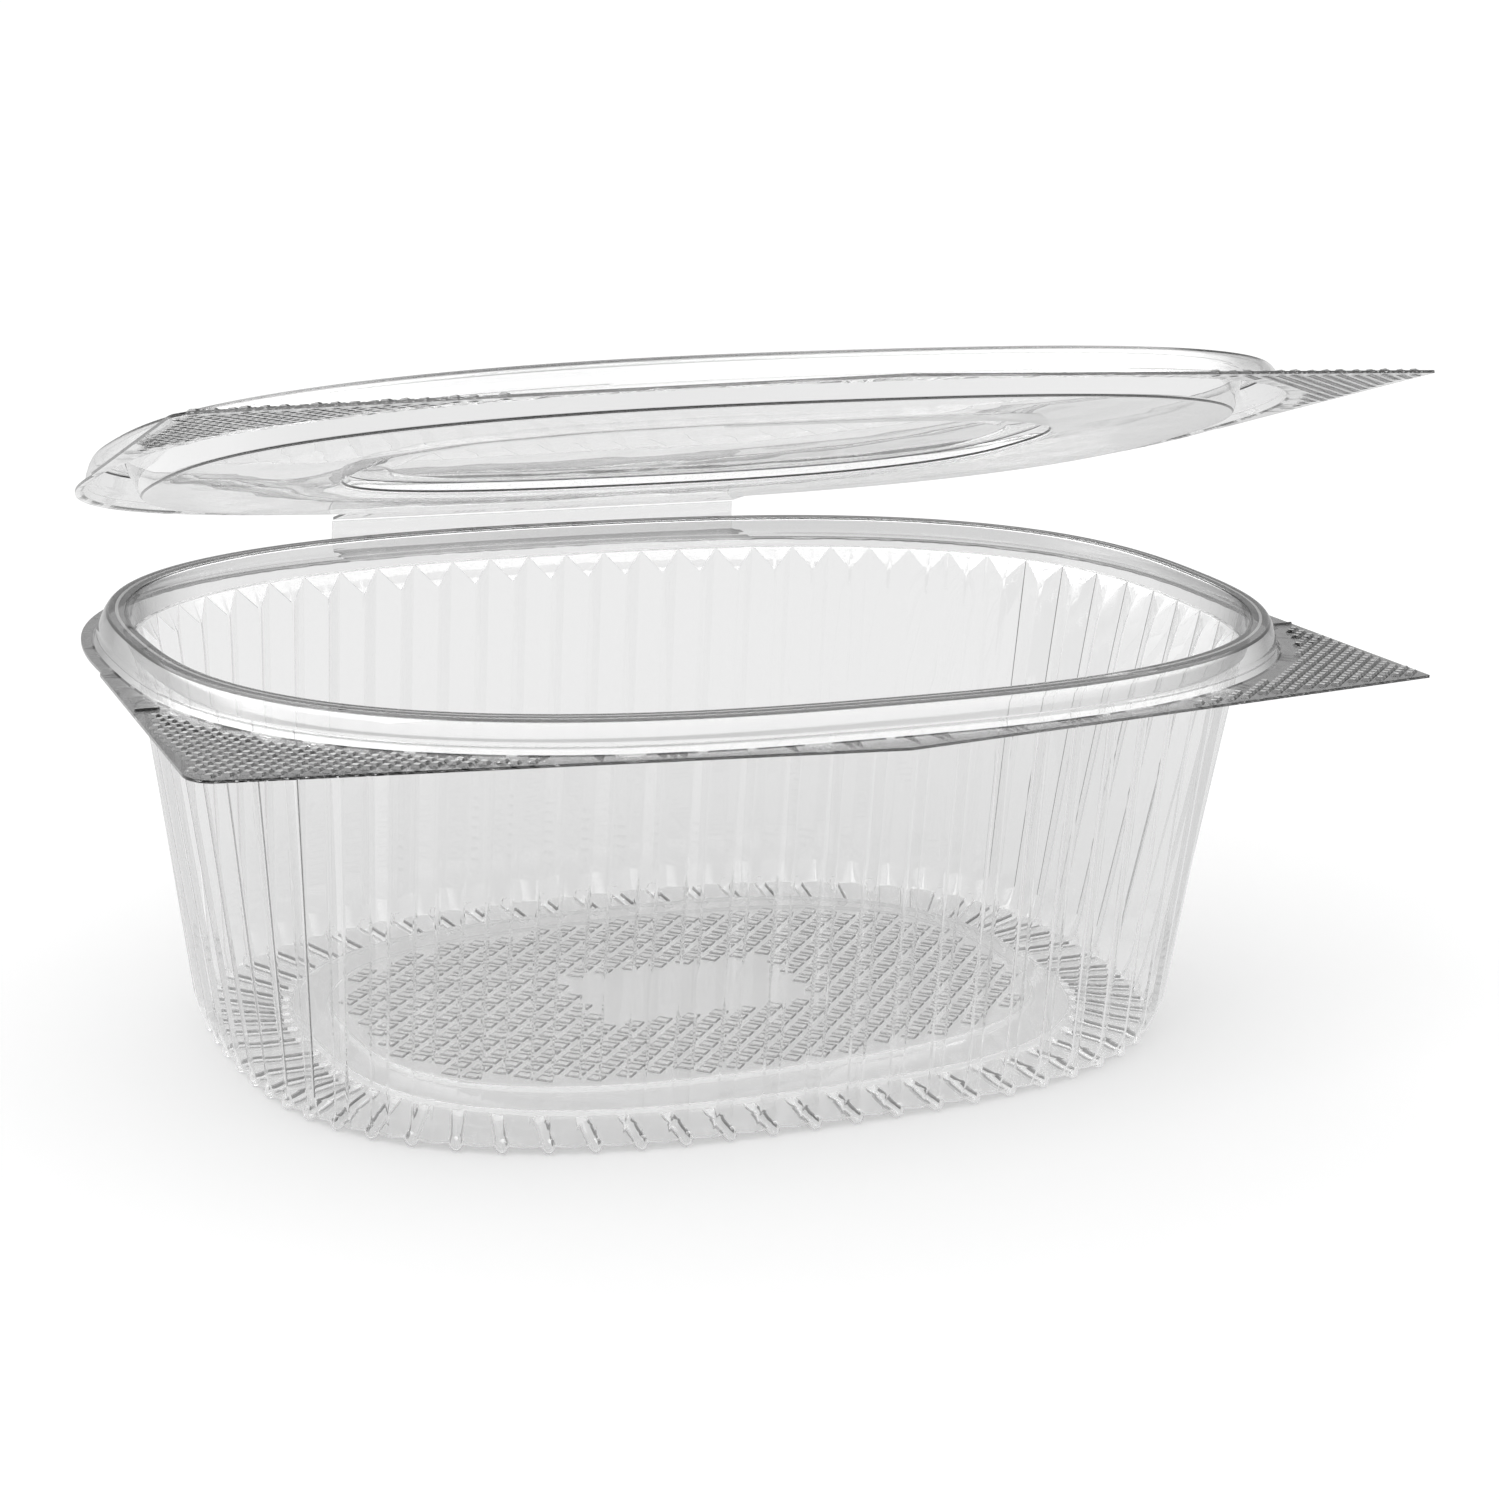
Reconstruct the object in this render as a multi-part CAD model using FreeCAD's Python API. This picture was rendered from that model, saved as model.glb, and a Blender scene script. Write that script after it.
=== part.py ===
import FreeCAD, Part
import math
import os

# Hinged deli container, thermoformed in one sheet of clear plastic: a fluted oval tub with a hollow
# rim crown and two corner tabs, a film hinge, and a lid whose own crown nests over the tub's.
# Millimetres. X runs along the container, the hinge is at +Y, and the tub stands on z = 0.

# Sheet and fits
sheet = 0.45              # wall of the formed sheet
nest_side = 0.35          # clearance beside the tub's crown, inside the lid's crown
nest_top = 0.30           # clearance over the tub's crown and over its flange
hinge_gap = 0.45          # from the hinge line to the film and to the lid's tongue
film_gap = 0.30           # between the tub's tongue and the film behind it

# Rim crown
rim_half_length = 95.0
rim_half_width = 61.0
rim_squareness = 2.55     # exponent of the oval
rim_top = 69.0
rim_height = 4.7          # crown above the flange
rim_band = 3.7            # flat top of the crown, outer edge to inner edge
rim_flare = 1.2           # outer wall spreads by this much down to the flange
rim_shoulder = 0.6        # broken outer edge of the crown
band_draft = 0.5          # inner band closes in by this much down to the seat
seat_drop = 5.0           # crown top to the seat ledge
seat_ledge = 0.35

# Fluted wall
flute_count = 68
flute_depth = 2.1
flute_closing = 3.8       # height of the sloped triangles that close each flute at the top
flute_depth_foot = 1.7
flute_depth_ring = 0.9
wall_draft_end = 10.6     # how far the wall leans in at the two ends
wall_draft_side = 1.4     # and along the two long sides

# Foot, ring of ribs, channel and floor panel
foot_chamfer_height = 4.4
foot_chamfer_run = 1.7
rib_stand = 1.2           # ribs reach this far under the ring
rib_width = 2.2
rib_flat = 1.0            # width of the face that a rib stands on
rib_overhang = 0.9        # nub beyond the ring's edge
rib_nose = 0.8            # length of the nub's tapered nose
rib_nose_share = 0.5      # its end, as a share of the rib's section
ring_width_end = 13.0
ring_width_side = 9.0
ring_squareness = 2.7
channel_rise = 0.9
channel_width_end = 5.5
channel_width_side = 8.0
panel_rise = 0.9
step_draft = 0.4

# Flange, tabs and tongues
flange_margin = 3.0       # flange beyond the crown's outer edge
front_margin = 6.4        # flange beyond the crown in the middle of the front
tab_margin = 6.9          # tip of a corner tab beyond the crown's end
tab_root_margin = 3.6     # the same at the tab's root
tab_sweep = 12.8          # the front edge falls back by this much to the tabs' tips
left_tab_radius = 4.0
tongue_half_length = 38.5
tongue_margin = 8.0       # rear edge of the tub's tongue beyond the crown

# Lid
lid_open_angle = 20.0     # how far the lid stands open
crease_height = 5.06      # hinge line above the tub's flange as the lid stands open
panel_drop = 1.5          # lid panel below the lid's flange
plug_run = 2.0            # the lid's inner wall leans in by this much down to the panel
island_half_length = 58.0
island_half_width = 33.0
island_squareness = 2.6
island_rise = 2.0
island_draft = 0.8

curve_points = 40         # points through which a smooth oval is drawn
over = 1.0                # how far a cutting form runs past the face that it opens
groove_over = 0.1         # the same for the grooves inside the ribs
same_place = 1e-4         # points nearer than this are one point
fine_steps = 40           # steps along an oval for every point spaced along it
search_reach = 30.0       # how far inwards the next oval is looked for
search_halvings = 50

flange_top = rim_top - rim_height
seat_z = rim_top - seat_drop
wall_foot_z = rib_stand + foot_chamfer_height
lid_flange_z = flange_top + nest_top
front_reach = rim_half_width + front_margin
tab_half_length = rim_half_length + tab_margin
tab_root_half_length = rim_half_length + tab_root_margin
tab_tip_reach = front_reach - tab_sweep
tongue_reach = rim_half_width + tongue_margin
film_y = tongue_reach + film_gap + sheet / 2
hinge_closed_z = lid_flange_z + sheet / 2
hinge_open_z = flange_top + crease_height
centre_y = (front_reach - film_y - sheet / 2) / 2


def signed_power(value, exponent):
    return math.copysign(abs(value) ** exponent, value)


def oval(half_length, half_width, squareness):
    return {"a": half_length, "b": half_width, "n": squareness}


def rim_oval(grow):
    return oval(rim_half_length + grow, rim_half_width + grow, rim_squareness)


def inset(shape, run):
    return oval(shape["a"] - run, shape["b"] - run, shape["n"])


def oval_point(shape, turn):
    x = shape["a"] * signed_power(math.cos(turn), 2 / shape["n"])
    y = shape["b"] * signed_power(math.sin(turn), 2 / shape["n"])
    return FreeCAD.Vector(x, y, 0)


def oval_normal(shape, point):
    x = signed_power(point.x / shape["a"], shape["n"] - 1) / shape["a"]
    y = signed_power(point.y / shape["b"], shape["n"] - 1) / shape["b"]
    return FreeCAD.Vector(x, y, 0).normalize()


def spaced_points(shape, count):
    # Points at equal distances along the oval, the first at the +X end.
    total = count * fine_steps
    fine = [oval_point(shape, 2 * math.pi * k / total) for k in range(total + 1)]
    lengths = [0.0]
    for before, after in zip(fine, fine[1:]):
        lengths.append(lengths[-1] + before.distanceToPoint(after))
    points = []
    step = 0
    for k in range(count):
        target = lengths[-1] * k / count
        while lengths[step + 1] < target:
            step += 1
        share = (target - lengths[step]) / (lengths[step + 1] - lengths[step])
        points.append(fine[step] * (1 - share) + fine[step + 1] * share)
    return points


def oval_wire(shape, z):
    points = [p + FreeCAD.Vector(0, 0, z) for p in spaced_points(shape, curve_points)]
    curve = Part.BSplineCurve()
    curve.interpolate(Points=points, PeriodicFlag=True)
    return Part.Wire(curve.toShape())


def oval_stack(sections):
    # Solid through ovals given as (oval, z), lowest first.
    return Part.makeLoft([oval_wire(shape, z) for shape, z in sections], True, True)


def strip(near, far):
    # Face between two ovals given as (oval, z): flat where they lie at one height, else ruled.
    wires = [oval_wire(shape, z) for shape, z in sorted((near, far), key=lambda section: -section[0]["a"])]
    if near[1] == far[1]:
        return Part.makeFace(wires, "Part::FaceMakerBullseye")
    return Part.makeRuledSurface(wires[0].Edges[0], wires[1].Edges[0])


def solid_of(faces):
    # The faces sewn along their shared edges, and turned outwards if they don't agree.
    shell = Part.makeShell(faces)
    shell.sewShape()
    solid = Part.makeSolid(shell)
    if not solid.isValid():
        solid.fix(same_place, same_place, same_place)
    if solid.Volume < 0:
        solid.reverse()
    return solid


def ring_solid(profile):
    # Ring whose cross-section passes through the ovals of the profile in turn, and closes.
    return solid_of([strip(near, far) for near, far in zip(profile, profile[1:] + profile[:1])])


def quarter(solid):
    # The part of a solid with x and y above 0.
    reach = rim_half_length + rim_half_width
    return solid.common(Part.makeBox(reach, reach, rim_top + 2 * over, FreeCAD.Vector(0, 0, -over)))


def four_quarters(solid):
    # A quarter and its three mirror images, without the faces along which they meet.
    faces = [face for face in solid.Faces if min(face.BoundBox.XMax, face.BoundBox.YMax) > same_place]
    for axis in (FreeCAD.Vector(1, 0, 0), FreeCAD.Vector(0, 1, 0)):
        faces += Part.makeCompound(faces).mirror(FreeCAD.Vector(), axis).Faces
    return solid_of(faces)


def dish_solid(profile):
    # Sheet closed over its middle: the profile runs from the upper face, round the edge, to the lower.
    middles = [Part.Face(oval_wire(*profile[0])), Part.Face(oval_wire(*profile[-1]))]
    return solid_of(middles + [strip(near, far) for near, far in zip(profile, profile[1:])])


def inward_hit(point, normal, shape):
    # Where a line that runs inwards from the point meets the oval.
    near, far = -over, search_reach
    for _ in range(search_halvings):
        middle = (near + far) / 2
        p = point - normal * middle
        outside = abs(p.x / shape["a"]) ** shape["n"] + abs(p.y / shape["b"]) ** shape["n"] > 1
        near, far = (middle, far) if outside else (near, middle)
    return point - normal * near


# Fluted wall

wall_top = rim_oval(-rim_band - band_draft - seat_ledge)
wall_foot = oval(wall_top["a"] - wall_draft_end, wall_top["b"] - wall_draft_side, ring_squareness)
ring_edge = inset(wall_foot, foot_chamfer_run)


def flute_stations():
    # One station at every peak and every valley: its place at the seat, at the wall's foot and on
    # the ring's edge, and the direction outwards.
    stations = []
    for top in spaced_points(wall_top, 2 * flute_count):
        normal = oval_normal(wall_top, top)
        foot = inward_hit(top, normal, wall_foot)
        ring = inward_hit(top, normal, ring_edge)
        stations.append((top, foot, ring, normal))
    return stations


stations = flute_stations()
pitch = stations[0][0].distanceToPoint(stations[1][0]) * 2
side_wall = sheet * math.hypot(1, flute_depth / (pitch / 2))


def flute_level(z, lean, foot_share, depth, grow):
    # Zigzag of peaks and valleys at one height. lean goes from the seat (0) to the wall's foot (1),
    # foot_share from the wall's foot (0) to the ring (1).
    level = []
    for k, (top, foot, ring, normal) in enumerate(stations):
        place = top * (1 - lean) + foot * lean
        place = place * (1 - foot_share) + ring * foot_share
        drop = depth if k % 2 else 0.0
        level.append(place + normal * (grow - drop) + FreeCAD.Vector(0, 0, z))
    return level


def flat_topped(level):
    # The same level with each valley on the straight line between its two peaks.
    count = len(level)
    return [(level[k - 1] + level[(k + 1) % count]) / 2 if k % 2 else level[k] for k in range(count)]


def faceted_solid(levels):
    # Closed solid through zigzags, lowest first. Each facet is split from the upper peak to the
    # lower valley.
    faces = []
    count = len(levels[0])
    for low, high in zip(levels, levels[1:]):
        for k in range(count):
            nxt = (k + 1) % count
            if k % 2 == 0:
                triangles = ((high[k], low[k], low[nxt]), (high[k], low[nxt], high[nxt]))
            else:
                triangles = ((high[nxt], low[k], low[nxt]), (high[nxt], high[k], low[k]))
            for corners in triangles:
                faces.append(Part.Face(Part.makePolygon(list(corners) + [corners[0]])))
    for level in (levels[0], levels[-1]):
        faces.append(Part.Face(Part.makePolygon(level + [level[0]])))
    return solid_of(faces)


def fluted_form(grow, bottom_z, seat):
    # The wall from the ring up to the seat. The triangles that close the flutes hang from the seat.
    closing_z = seat - flute_closing
    lean = flute_closing / (seat - wall_foot_z)
    return faceted_solid([
        flute_level(bottom_z, 1, 1, flute_depth_ring, grow),
        flute_level(wall_foot_z, 1, 0, flute_depth_foot, grow),
        flute_level(closing_z, lean, 0, flute_depth, grow),
        flat_topped(flute_level(seat, 0, 0, 0, grow)),
    ])


# Feet

ring_inner = oval(ring_edge["a"] - ring_width_end, ring_edge["b"] - ring_width_side, ring_squareness)
channel_inner = oval(ring_inner["a"] - channel_width_end, ring_inner["b"] - channel_width_side,
                     ring_squareness)


def rib_section(place, across, half_top, half_flat, top_z, flat_z, share=1):
    # Corners of a rib's section, drawn in towards the middle of its upper edge by the share.
    corners = [(half_top, top_z), (half_flat, flat_z), (-half_flat, flat_z), (-half_top, top_z)]
    return [place + across * side * share + FreeCAD.Vector(0, 0, top_z + (z - top_z) * share)
            for side, z in corners]


def flat_sided(sections):
    # Solid through sections with the same number of corners.
    outlines = [sections[0], sections[-1]]
    for near, far in zip(sections, sections[1:]):
        outlines += [[near[k - 1], near[k], far[k], far[k - 1]] for k in range(len(near))]
    return solid_of([Part.Face(Part.makePolygon(corners + [corners[0]])) for corners in outlines])


def rib_runs():
    # Each rib of a quarter lies under a valley of the wall and runs from the channel to its nub.
    runs = []
    for k, (top, foot, ring, normal) in enumerate(stations[:len(stations) // 4]):
        if k % 2:
            inner = inward_hit(ring, normal, ring_inner)
            runs.append((inner, ring - normal * flute_depth_ring, normal))
    return runs


def rib_solid(run):
    inner, edge, normal = run
    section = (FreeCAD.Vector(-normal.y, normal.x, 0), rib_width / 2, rib_flat / 2, rib_stand + sheet / 2, 0)
    nub = edge + normal * (side_wall + rib_overhang)
    return flat_sided([rib_section(inner, *section), rib_section(nub - normal * rib_nose, *section),
                       rib_section(nub, *section, rib_nose_share)])


def rib_groove(run):
    # The inside of a rib, open to the tub.
    inner, edge, normal = run
    section = (FreeCAD.Vector(-normal.y, normal.x, 0), rib_width / 2 - sheet / 2, rib_flat / 2 - sheet / 4,
               rib_stand + sheet + groove_over, sheet)
    return flat_sided([rib_section(inner + normal * sheet, *section),
                       rib_section(edge - normal * sheet / 2, *section)])


def floor_steps(grow, base_z):
    # Channel and panel, which rise from the ring towards the middle.
    channel_z = base_z + channel_rise
    channel = oval_stack([(inset(ring_inner, -grow), base_z - over),
                          (inset(ring_inner, -grow), base_z),
                          (inset(ring_inner, step_draft - grow), channel_z)])
    panel = oval_stack([(inset(channel_inner, -grow), base_z - over),
                        (inset(channel_inner, -grow), channel_z),
                        (inset(channel_inner, step_draft - grow), channel_z + panel_rise)])
    return channel.fuse(panel)


# Rim and flange

def crown_side(grow, foot_z, top_z):
    # Outer side of a crown, from its foot on the flange to its top.
    return [(rim_oval(rim_flare + grow), foot_z),
            (rim_oval(grow), top_z - rim_shoulder),
            (rim_oval(grow - rim_shoulder), top_z)]


def flange_edge(z):
    return [(rim_oval(flange_margin), z), (rim_oval(flange_margin), z + sheet)]


def flange_plate(z, rear_reach, hole):
    # The two corner tabs and the hinge tongue, open inside the crown.
    up = FreeCAD.Vector(0, 0, sheet)
    outline = [(0, -front_reach), (tab_half_length, -tab_tip_reach), (tab_root_half_length, 0),
               (-tab_root_half_length, 0), (-tab_half_length, -tab_tip_reach)]
    corners = [FreeCAD.Vector(x, y, z) for x, y in outline]
    tabs = Part.Face(Part.makePolygon(corners + [corners[0]])).extrude(up)
    tabs = tabs.makeFillet(left_tab_radius, upright_edges(tabs, -tab_half_length, -tab_tip_reach))
    tongue = Part.makeBox(2 * tongue_half_length, rear_reach, sheet,
                          FreeCAD.Vector(-tongue_half_length, 0, z))
    return tabs.fuse(tongue).cut(oval_stack([(hole, z - over), (hole, z + sheet + over)]))


def upright_edges(solid, x, y):
    def is_here(vertex):
        return abs(vertex.X - x) < same_place and abs(vertex.Y - y) < same_place
    return [edge for edge in solid.Edges if all(is_here(vertex) for vertex in edge.Vertexes)]


def make_tub():
    band_head = rim_oval(-rim_band)
    band_foot = inset(band_head, band_draft)
    seat_hole = inset(wall_top, over)
    flange_z = flange_top - sheet
    ring_floor = rib_stand + sheet

    rim = ring_solid(
        flange_edge(flange_z)
        + crown_side(0, flange_top, rim_top)
        + [(band_head, rim_top), (band_foot, seat_z), (seat_hole, seat_z), (seat_hole, seat_z - sheet),
           (inset(band_foot, -sheet), seat_z - sheet), (inset(band_head, -sheet), rim_top - sheet)]
        + crown_side(-sheet, flange_z, rim_top - sheet)[::-1])
    plate = flange_plate(flange_z, tongue_reach, rim_oval(rim_flare - sheet / 2))
    wall = quarter(fluted_form(side_wall, rib_stand, seat_z - sheet / 2)).cut(floor_steps(0, rib_stand))
    inside = quarter(fluted_form(0, ring_floor, seat_z)).cut(floor_steps(sheet, ring_floor))
    runs = rib_runs()
    inside = inside.fuse([rib_groove(run) for run in runs])
    body = quarter(rim).fuse([wall] + [rib_solid(run) for run in runs]).cut(inside)
    return four_quarters(body).fuse(plate).removeSplitter()


def make_film():
    low = flange_top - sheet
    high = hinge_open_z - hinge_gap
    return Part.makeBox(2 * tongue_half_length, sheet, high - low,
                        FreeCAD.Vector(-tongue_half_length, film_y - sheet / 2, low))


def make_lid():
    # Modelled closed, then lifted onto the hinge line and turned open.
    flange_face = lid_flange_z + sheet
    crown_under = rim_top + nest_top
    crown_top = crown_under + sheet
    panel_z = lid_flange_z - panel_drop
    panel_face = panel_z + sheet
    plug_head = rim_oval(-rim_band - nest_side)
    plug_foot = inset(plug_head, plug_run)
    island = oval(island_half_length, island_half_width, island_squareness)
    island_top = inset(island, island_draft)

    lid = dish_solid(
        [(inset(island_top, -sheet), panel_face + island_rise), (inset(island, -sheet), panel_face),
         (inset(plug_foot, sheet), panel_face), (inset(plug_head, sheet), crown_top)]
        + crown_side(nest_side + sheet, flange_face, crown_top)[::-1]
        + flange_edge(lid_flange_z)[::-1]
        + crown_side(nest_side, lid_flange_z, crown_under)
        + [(plug_head, crown_under), (plug_foot, panel_z), (island, panel_z),
           (island_top, panel_z + island_rise)])
    plate = flange_plate(lid_flange_z, film_y - hinge_gap, rim_oval(rim_flare + nest_side + sheet / 2))
    lid = lid.fuse(plate).removeSplitter()
    lid.translate(FreeCAD.Vector(0, 0, hinge_open_z - hinge_closed_z))
    lid.rotate(FreeCAD.Vector(0, film_y, hinge_open_z), FreeCAD.Vector(1, 0, 0), -lid_open_angle)
    return lid


os.makedirs("parts", exist_ok=True)
for name, make in (("tub", make_tub), ("hinge_strip", make_film), ("lid", make_lid)):
    shape = make()
    shape.translate(FreeCAD.Vector(0, centre_y, 0))
    shape.exportStep("parts/" + name + ".step")
    box = shape.BoundBox
    corners = [round(v, 2) for v in (box.XMin, box.XMax, box.YMin, box.YMax, box.ZMin, box.ZMax)]
    print(name, len(shape.Solids), "solid", round(shape.Volume), "mm3", shape.isValid(),
          len(shape.Faces), "faces", corners)
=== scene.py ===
import math

import bpy
import bmesh
import numpy as np
from mathutils import Matrix, Vector
from mathutils.geometry import delaunay_2d_cdt


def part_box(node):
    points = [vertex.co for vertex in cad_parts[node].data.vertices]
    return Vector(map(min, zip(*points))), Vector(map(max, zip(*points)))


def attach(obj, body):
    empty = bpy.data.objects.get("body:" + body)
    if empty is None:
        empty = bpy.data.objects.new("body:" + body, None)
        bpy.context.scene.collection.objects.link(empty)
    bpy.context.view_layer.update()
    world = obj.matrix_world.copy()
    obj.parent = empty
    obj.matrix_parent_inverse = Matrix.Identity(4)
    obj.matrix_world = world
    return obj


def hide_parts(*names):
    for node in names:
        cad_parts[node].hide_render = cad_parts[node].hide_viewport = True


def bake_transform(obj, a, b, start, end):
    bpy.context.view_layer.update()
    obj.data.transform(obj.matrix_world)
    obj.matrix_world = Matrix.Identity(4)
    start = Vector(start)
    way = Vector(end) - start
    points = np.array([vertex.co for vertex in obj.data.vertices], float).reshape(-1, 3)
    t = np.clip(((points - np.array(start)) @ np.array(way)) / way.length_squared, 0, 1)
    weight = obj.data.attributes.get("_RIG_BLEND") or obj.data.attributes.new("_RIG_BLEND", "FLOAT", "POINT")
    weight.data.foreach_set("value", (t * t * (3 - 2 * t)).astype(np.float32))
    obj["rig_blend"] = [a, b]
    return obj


# Hinged deli container in clear thermoformed plastic: tub, film hinge and lid.
# Lengths are in millimetres and become metres when a mesh is made. Each sheet is drawn as its
# upper face and given its thickness downwards.

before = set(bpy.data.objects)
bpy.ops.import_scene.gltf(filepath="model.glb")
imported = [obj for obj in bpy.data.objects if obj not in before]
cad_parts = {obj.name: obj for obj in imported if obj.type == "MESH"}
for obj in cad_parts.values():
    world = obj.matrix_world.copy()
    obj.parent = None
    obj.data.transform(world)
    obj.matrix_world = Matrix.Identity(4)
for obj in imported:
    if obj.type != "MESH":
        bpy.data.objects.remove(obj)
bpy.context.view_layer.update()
tubLow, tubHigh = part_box("tub")
filmLow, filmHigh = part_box("hinge_strip")
print("tub solid:", round(tubHigh.z - tubLow.z, 4), "m high")

mm = 0.001
hingeReach = 69.525  # hinge line behind the oval's middle
sheetGauge = 0.45
middleY = (filmLow.y + filmHigh.y) / 2 / mm - hingeReach  # middle of the tub's oval
hingeHeight = filmHigh.z / mm + sheetGauge  # hinge line as the lid stands open
gauge = {"rim": 0.8, "flange": 1.0, "wall": 0.5, "floor": 0.62, "lid": 0.8}  # shares left after forming

rim = {
    "halfLength": 95.0, "halfWidth": 61.0, "squareness": 2.55,
    "topHeight": 69.0, "crownHeight": 4.7, "band": 3.7, "flare": 1.2, "shoulder": 1.45,
    "bandDraft": 0.5, "seatDrop": 5.0, "ledge": 0.35,
}
flangeHeight = rim["topHeight"] - rim["crownHeight"]
seatHeight = rim["topHeight"] - rim["seatDrop"]


def signedPower(value, exponent):
    return np.sign(value) * np.abs(value) ** exponent


def oval(halfLength, halfWidth, squareness):
    return np.array([halfLength, halfWidth, squareness])


def rimOval(grow):
    return oval(rim["halfLength"] + grow, rim["halfWidth"] + grow, rim["squareness"])


def insetOval(shape, run):
    return oval(shape[0] - run, shape[1] - run, shape[2])


def ovalPoints(shape, turn):
    x = shape[0] * signedPower(np.cos(turn), 2 / shape[2])
    y = shape[1] * signedPower(np.sin(turn), 2 / shape[2])
    return np.stack([x, y], 1)


def spacedPoints(shape, shares):
    # points at the given shares of the oval's length, counted from its +X end
    fine = ovalPoints(shape, np.linspace(0, 2 * math.pi, 20001))
    along = np.concatenate([[0], np.cumsum(np.linalg.norm(np.diff(fine, axis=0), axis=1))])
    at = np.asarray(shares) * along[-1]
    return np.stack([np.interp(at, along, fine[:, 0]), np.interp(at, along, fine[:, 1])], 1)


def ovalNormals(shape, points):
    x = signedPower(points[:, 0] / shape[0], shape[2] - 1) / shape[0]
    y = signedPower(points[:, 1] / shape[1], shape[2] - 1) / shape[1]
    normals = np.stack([x, y], 1)
    return normals / np.linalg.norm(normals, axis=1)[:, None]


def hitOval(points, normals, shape, reach=30.0):
    # where lines along the normals meet the oval, outside or inside the points
    near = np.full(len(points), reach)
    far = np.full(len(points), -reach)
    for _ in range(45):
        middle = (near + far) / 2
        p = points + normals * middle[:, None]
        beyond = np.abs(p[:, 0] / shape[0]) ** shape[2] + np.abs(p[:, 1] / shape[1]) ** shape[2] > 1
        near = np.where(beyond, middle, near)
        far = np.where(beyond, far, middle)
    return points + normals * near[:, None]


def sameTurn(points, shapeFrom, shapeTo):
    # carries points of one oval to the same place on another
    turn = np.arctan2(signedPower(points[:, 1] / shapeFrom[1], shapeFrom[2] / 2),
                      signedPower(points[:, 0] / shapeFrom[0], shapeFrom[2] / 2))
    return ovalPoints(shapeTo, turn)


noRib = 9.0  # marks a column with no rib near it


class Rings:
    # one sheet, drawn as rings of points from its outside to its middle
    def __init__(self, start, outward, phase, across, rimShare, gaugeShare):
        self.start = start
        self.outward = outward
        self.phase = phase
        self.across = across
        self.rimShare = rimShare
        self.gaugeShare = gaugeShare
        self.places = []
        marks = ("fluteDepth", "closingDrop", "ribDrop", "ribOut", "gaugeShare", "tone")
        self.reach = {key: [] for key in marks}

    def add(self, points, height, gaugeShare=None, **reach):
        heights = np.full(len(points), height) if np.isscalar(height) else height
        self.places.append(np.column_stack([points, heights]))
        reach["gaugeShare"] = self.gaugeShare if gaugeShare is None else gaugeShare
        for name in self.reach:
            self.reach[name].append(np.zeros(len(points)) + reach.get(name, 0))

    def addOval(self, shape, height, **reach):
        self.add(hitOval(self.start, self.outward, shape), height, **reach)


def ringsPart(rings):
    # a sheet of rings as points, faces and what each point carries
    columns = len(rings.phase)
    count = len(rings.places)
    outward = np.column_stack([rings.outward, np.zeros(columns)])
    fields = {key: np.concatenate(values) for key, values in rings.reach.items()}
    fields["flutePhase"] = np.tile(rings.phase, count)
    fields["ribAcross"] = np.tile(rings.across, count)
    fields["outward"] = np.tile(outward, (count, 1))
    fields["rimShare"] = np.full(count * columns, rings.rimShare)
    return np.concatenate(rings.places), bandedFaces(count, columns), fields


def bandedFaces(rings, columns):
    faces = []
    for r in range(rings - 1):
        for c in range(columns):
            n = (c + 1) % columns
            faces.append((r * columns + c, r * columns + n, (r + 1) * columns + n, (r + 1) * columns + c))
    return faces


def zippedPart(outer, outerPhase, inner, innerPhase, rimShare, gaugeShare):
    # triangles between two rings with different numbers of points
    faces = []
    i = j = 0
    m, n = len(outer), len(inner)
    total = math.ceil(max(outerPhase[-1], innerPhase[-1]))
    while i < m or j < n:
        nextOuter = outerPhase[i + 1] if i + 1 < m else total + (0 if i < m else 9)
        nextInner = innerPhase[j + 1] if j + 1 < n else total + (0 if j < n else 9)
        if i < m and (nextOuter <= nextInner or j >= n):
            faces.append((i % m, (i + 1) % m, m + j % n))
            i += 1
        else:
            faces.append((i % m, m + (j + 1) % n, m + j % n))
            j += 1
    count = m + n
    return (np.concatenate([outer, inner]), faces,
            {"rimShare": np.full(count, rimShare), "gaugeShare": np.full(count, gaugeShare)})


def insidePolygon(points, corners):
    inside = np.zeros(len(points), bool)
    corners = np.asarray(corners, float)
    for a, b in zip(corners, np.roll(corners, -1, axis=0)):
        crosses = (a[1] > points[:, 1]) != (b[1] > points[:, 1])
        with np.errstate(divide="ignore", invalid="ignore"):
            x = (b[0] - a[0]) * (points[:, 1] - a[1]) / (b[1] - a[1]) + a[0]
        inside ^= crosses & (points[:, 0] < x)
    return inside


def distanceToPolygon(points, corners):
    corners = np.asarray(corners, float)
    nearest = np.full(len(points), 1e9)
    for a, b in zip(corners, np.roll(corners, -1, axis=0)):
        run = b - a
        share = np.clip(((points - a) @ run) / max(run @ run, 1e-12), 0, 1)
        nearest = np.minimum(nearest, np.linalg.norm(points - a - share[:, None] * run, axis=1))
    return nearest


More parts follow.
